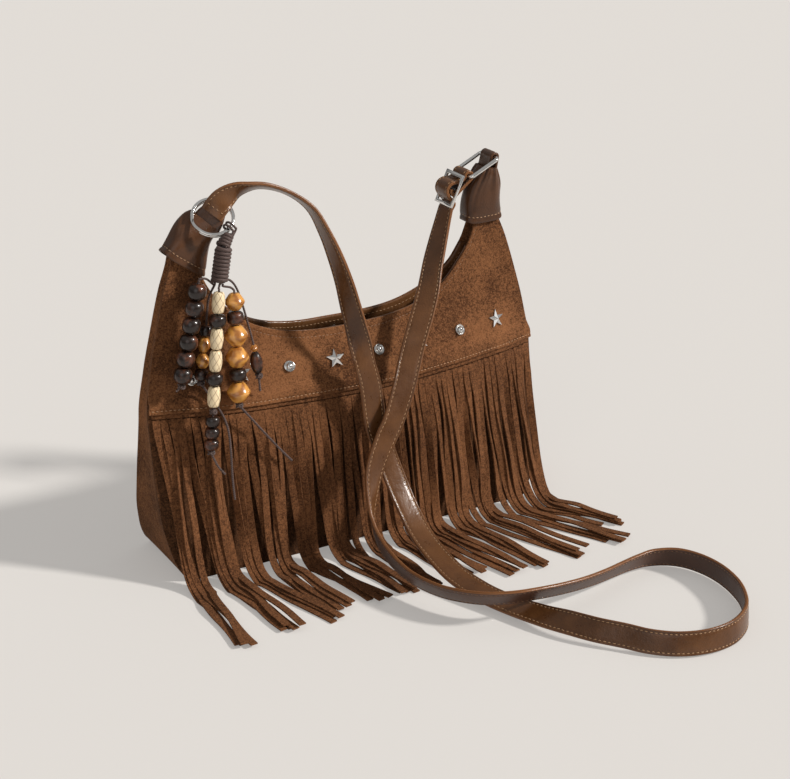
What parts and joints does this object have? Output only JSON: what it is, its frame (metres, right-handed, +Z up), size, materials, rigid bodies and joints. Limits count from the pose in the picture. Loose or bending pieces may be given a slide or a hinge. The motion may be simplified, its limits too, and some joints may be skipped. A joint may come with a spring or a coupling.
{
  "type": "fringed suede shoulder bag",
  "caption": "Suede shoulder bag with a scooped mouth, a long front fringe, metal studs, a leather strap on rings and a hanging charm of wooden beads.",
  "frame": {"origin": "middle of the bag's underside, on the plane it stands on", "axes": "+X to the right along the bag, -Y out of its fringed front, +Z up"},
  "size_m": [0.3365, 0.3204, 0.2635],
  "materials": {
    "suede": "matt brushed suede",
    "leather": "satin",
    "lining": "matt",
    "steel": "polished",
    "cord": "waxed cord",
    "dark_bead": "polished",
    "cream_bead": "polished, with carved lines",
    "amber_bead": "varnished, with grain"
  },
  "bodies": {
    "root": {"front_yoke": "suede", "front_panel": "suede", "back_panel": "suede", "gusset": "suede", "fringe": "suede", "facing_front": "leather", "facing_back": "leather", "cap_left": "leather", "cap_right": "leather", "tab_left": "leather", "tab_right": "leather", "strap": "leather", "lining": "lining", "round_stud_1": "steel", "round_stud_2": "steel", "round_stud_3": "steel", "round_stud_4": "steel", "star_stud_1": "steel", "star_stud_2": "steel", "star_stud_3": "steel", "star_stud_4": "steel", "snap_front": "steel", "snap_back": "steel", "ring_right": "steel", "slider": "steel"},
    "key_ring": {"key_ring": "steel"},
    "charm": {"charm_loop": "cord", "charm_wrap": "cord", "strand_1_cord": "cord", "strand_2_cord": "cord", "strand_3_cord": "cord", "strand_4_cord": "cord", "strand_5_cord": "cord", "strand_1_bead_1": "dark_bead", "strand_1_bead_2": "dark_bead", "strand_1_bead_3": "dark_bead", "strand_1_bead_4": "dark_bead", "strand_1_bead_5": "dark_bead", "strand_1_bead_6": "dark_bead", "strand_2_bead_1": "cream_bead", "strand_2_bead_2": "dark_bead", "strand_2_bead_3": "cream_bead", "strand_2_bead_4": "cream_bead", "strand_2_bead_5": "dark_bead", "strand_2_bead_6": "cream_bead", "strand_2_bead_7": "dark_bead", "strand_2_bead_8": "dark_bead", "strand_2_bead_9": "dark_bead", "strand_3_bead_1": "amber_bead", "strand_3_bead_2": "dark_bead", "strand_3_bead_3": "amber_bead", "strand_3_bead_4": "amber_bead", "strand_3_bead_5": "dark_bead", "strand_3_bead_6": "amber_bead", "strand_4_bead_1": "amber_bead", "strand_4_bead_2": "dark_bead", "strand_5_bead_1": "dark_bead", "strand_5_bead_2": "amber_bead", "strand_5_bead_3": "amber_bead", "strand_5_bead_4": "dark_bead"}
  },
  "joints": [
    {"name": "key_ring_swing", "type": "hinge", "parent": "root", "child": "key_ring", "pos_m": [-0.09172, -0.00739, 0.24402], "axis": [-0.5025, 0.7035, 0.5025], "range_deg": [0, 30]},
    {"name": "charm_swing", "type": "hinge", "parent": "key_ring", "child": "charm", "pos_m": [-0.08732, -0.01744, 0.23616], "axis": [-1, 0, 0], "range_deg": [0, 50]}
  ]
}
